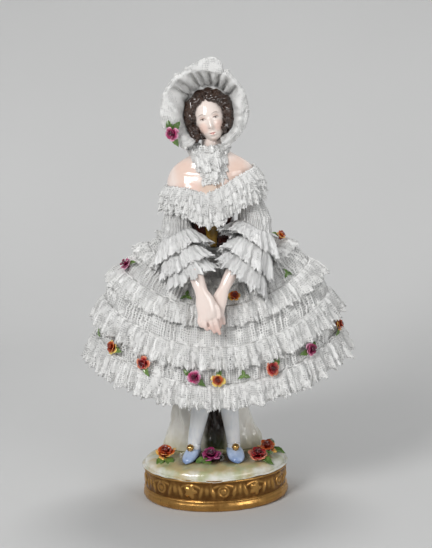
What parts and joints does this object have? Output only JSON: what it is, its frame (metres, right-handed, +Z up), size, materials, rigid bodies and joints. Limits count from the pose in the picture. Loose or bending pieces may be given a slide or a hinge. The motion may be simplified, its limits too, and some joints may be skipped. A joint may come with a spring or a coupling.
{
  "type": "crinoline lady figurine",
  "caption": "Porcelain figurine of a standing lady in a frilled lace crinoline, lace bonnet and collar, with applied roses, on an oval gilded plinth.",
  "frame": {"origin": "middle of the flat underside of the plinth, where the figurine stands", "axes": "+Z up, the figure faces -Y, +X to the viewer's right"},
  "size_m": [0.1369, 0.0979, 0.2277],
  "materials": {
    "gold": "burnished gilding over glaze",
    "white_glaze": "glossy white glaze, tinted on the ground",
    "shoe_blue": "glossy pale blue glaze",
    "lace": "fired lace, satin white",
    "bodice_brown": "glossy dark brown glaze",
    "ochre": "brushed ochre-gold glaze",
    "flesh": "glossy pale flesh glaze",
    "hair_brown": "glossy dark brown glaze",
    "rose_magenta": "glossy magenta glaze",
    "rose_orange": "glossy orange and yellow glaze",
    "rose_red": "glossy red glaze",
    "leaf_green": "glossy green glaze"
  },
  "bodies": {
    "root": {"plinth": "gold", "buckle_left": "gold", "buckle_right": "gold", "ground": "white_glaze", "support": "white_glaze", "leg_left": "white_glaze", "leg_right": "white_glaze", "lower_body": "white_glaze", "shoe_left": "shoe_blue", "shoe_right": "shoe_blue", "skirt_shell": "lace", "skirt_frill_1": "lace", "skirt_frill_2": "lace", "skirt_frill_3": "lace", "skirt_frill_4": "lace", "skirt_frill_5": "lace", "bonnet_brim": "lace", "bonnet_crown": "lace", "bonnet_frill": "lace", "collar_upper": "lace", "collar_lower": "lace", "sleeve_left": "lace", "sleeve_left_frill_1": "lace", "sleeve_left_frill_2": "lace", "sleeve_left_frill_3": "lace", "sleeve_right": "lace", "sleeve_right_frill_1": "lace", "sleeve_right_frill_2": "lace", "sleeve_right_frill_3": "lace", "neck_bow": "lace", "bodice": "bodice_brown", "front_panel": "ochre", "torso": "flesh", "head": "flesh", "arm_left": "flesh", "arm_right": "flesh", "hair": "hair_brown", "base_rose_purple": "rose_magenta", "skirt_rose_magenta_upper": "rose_magenta", "hem_rose_magenta": "rose_magenta", "hem_rose_magenta_right": "rose_magenta", "hem_rose_back_middle": "rose_magenta", "bonnet_rose": "rose_magenta", "base_rose_orange_left": "rose_orange", "base_rose_orange_right": "rose_orange", "skirt_rose_orange_upper": "rose_orange", "skirt_rose_orange_front": "rose_orange", "hem_rose_yellow": "rose_orange", "hem_rose_orange": "rose_orange", "hem_rose_orange_right": "rose_orange", "hem_rose_back_right": "rose_orange", "base_rose_red": "rose_red", "hem_rose_red_left": "rose_red", "hem_rose_red_right": "rose_red", "hem_rose_back_left": "rose_red", "leaf_spray_upper_left": "leaf_green", "leaf_spray_upper_right": "leaf_green", "leaf_spray_shoulder_left": "leaf_green", "leaf_spray_hem_left": "leaf_green", "leaf_spray_hem_front": "leaf_green"}
  },
  "joints": []
}
